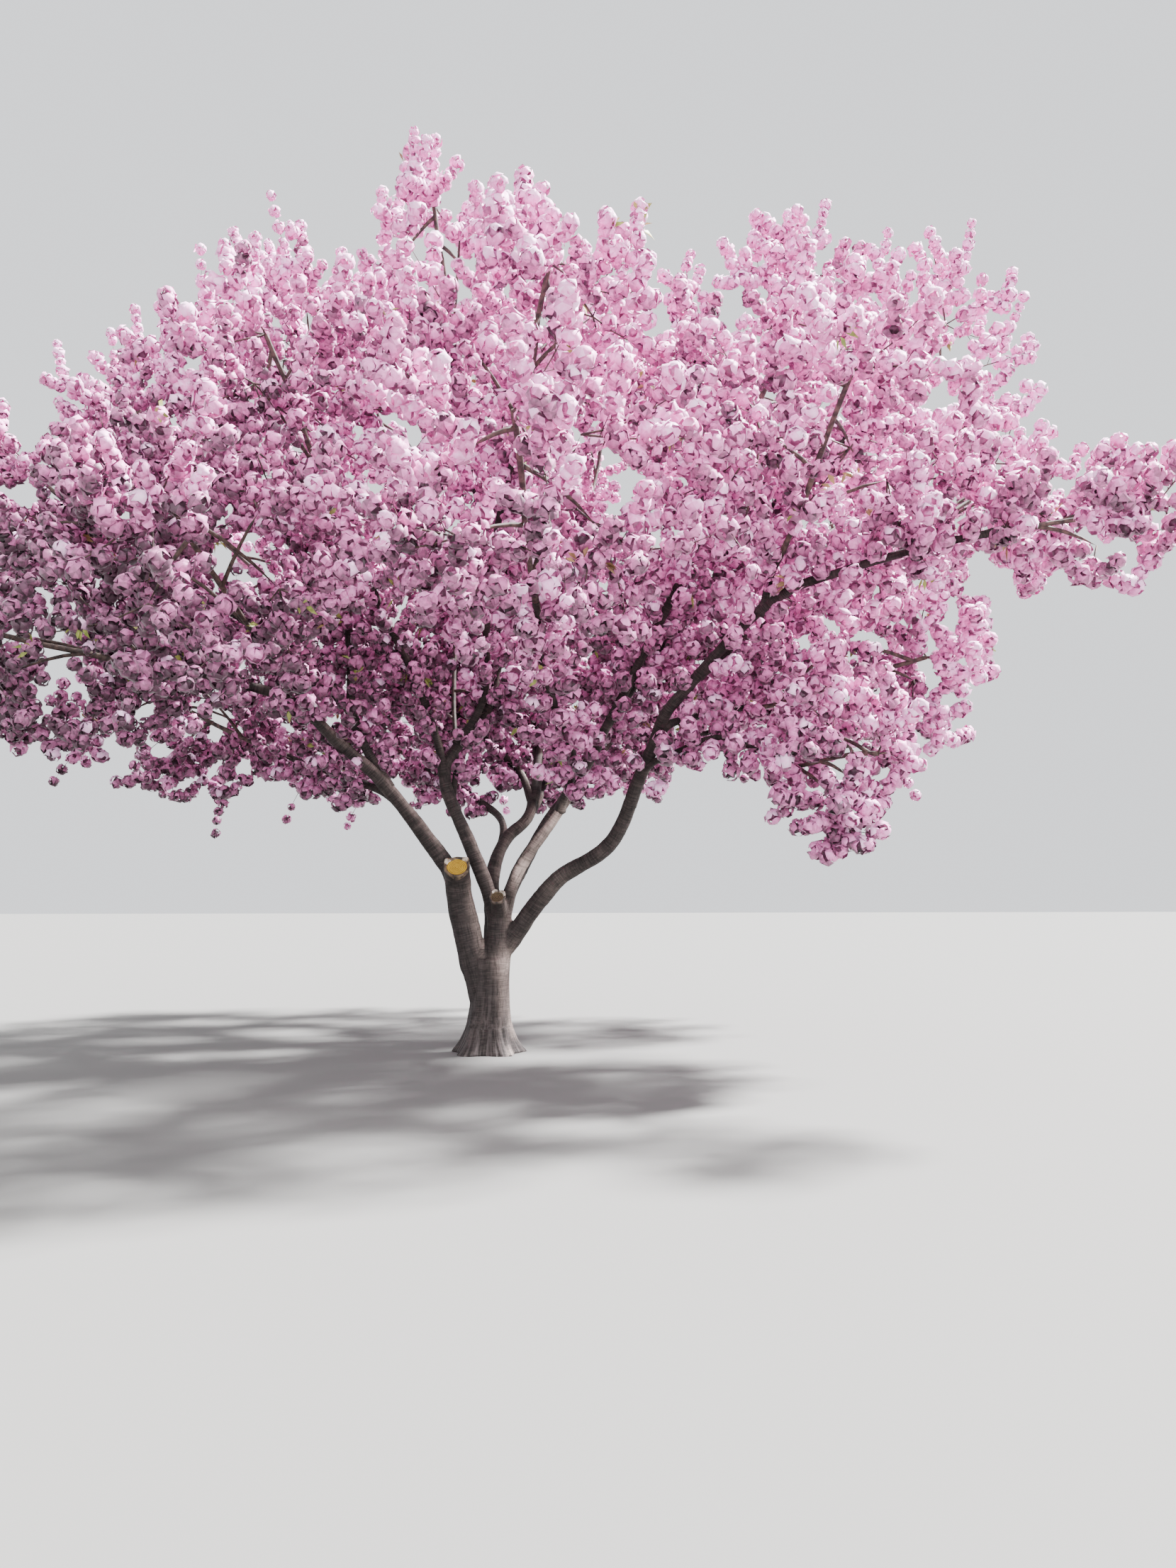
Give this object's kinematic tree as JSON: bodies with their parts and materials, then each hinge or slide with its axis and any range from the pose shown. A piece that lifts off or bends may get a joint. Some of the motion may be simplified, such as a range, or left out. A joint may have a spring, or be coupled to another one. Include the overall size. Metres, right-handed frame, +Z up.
{
  "type": "cherry blossom tree",
  "caption": "Broad double-flowered cherry tree in full pink blossom, with a short flared trunk forking low into spreading boughs.",
  "frame": {"origin": "middle of the flat cut under the trunk, at ground level", "axes": "+Z up the tree, +X to the right of the view in the picture and along the crown's widest way, +Y away from the viewer"},
  "size_m": [11.1186, 10.7516, 8.6663],
  "materials": {
    "bark": "dark grey-brown cherry bark with raised bands, matt",
    "blossom": "double pink blossom in round clusters, soft and matt, paler in the sun"
  },
  "bodies": {
    "root": {"trunk": "bark", "bough_leftLow": "bark", "bough_leftBackLow": "bark", "bough_leftFront": "bark", "bough_left": "bark", "bough_leftHigh": "bark", "bough_leftShoulder": "bark", "bough_leftUpper": "bark", "bough_topLeft": "bark", "bough_top": "bark", "bough_heart": "bark", "bough_frontHigh": "bark", "bough_rightUpper": "bark", "bough_front": "bark", "bough_rightHigh": "bark", "bough_rightTip": "bark", "bough_frontRight": "bark", "bough_rightDroop": "bark", "bough_rightLow": "bark", "bough_right": "bark", "bough_rightBack": "bark", "bough_rightBackLow": "bark", "bough_topRight": "bark", "bough_backHigh": "bark", "bough_back": "bark", "bough_backLow": "bark", "bough_backLeftLow": "bark", "bough_leftBack": "bark", "bough_backLeftHigh": "bark", "bough_heartRight": "bark", "blossom_leftLow": "blossom", "blossom_leftBackLow": "blossom", "blossom_leftFront": "blossom", "blossom_left": "blossom", "blossom_leftHigh": "blossom", "blossom_leftShoulder": "blossom", "blossom_leftUpper": "blossom", "blossom_topLeft": "blossom", "blossom_top": "blossom", "blossom_heart": "blossom", "blossom_frontHigh": "blossom", "blossom_rightUpper": "blossom", "blossom_front": "blossom", "blossom_rightHigh": "blossom", "blossom_rightTip": "blossom", "blossom_frontRight": "blossom", "blossom_rightDroop": "blossom", "blossom_rightLow": "blossom", "blossom_right": "blossom", "blossom_rightBack": "blossom", "blossom_rightBackLow": "blossom", "blossom_topRight": "blossom", "blossom_backHigh": "blossom", "blossom_back": "blossom", "blossom_backLow": "blossom", "blossom_backLeftLow": "blossom", "blossom_leftBack": "blossom", "blossom_backLeftHigh": "blossom", "blossom_heartRight": "blossom"}
  },
  "joints": []
}
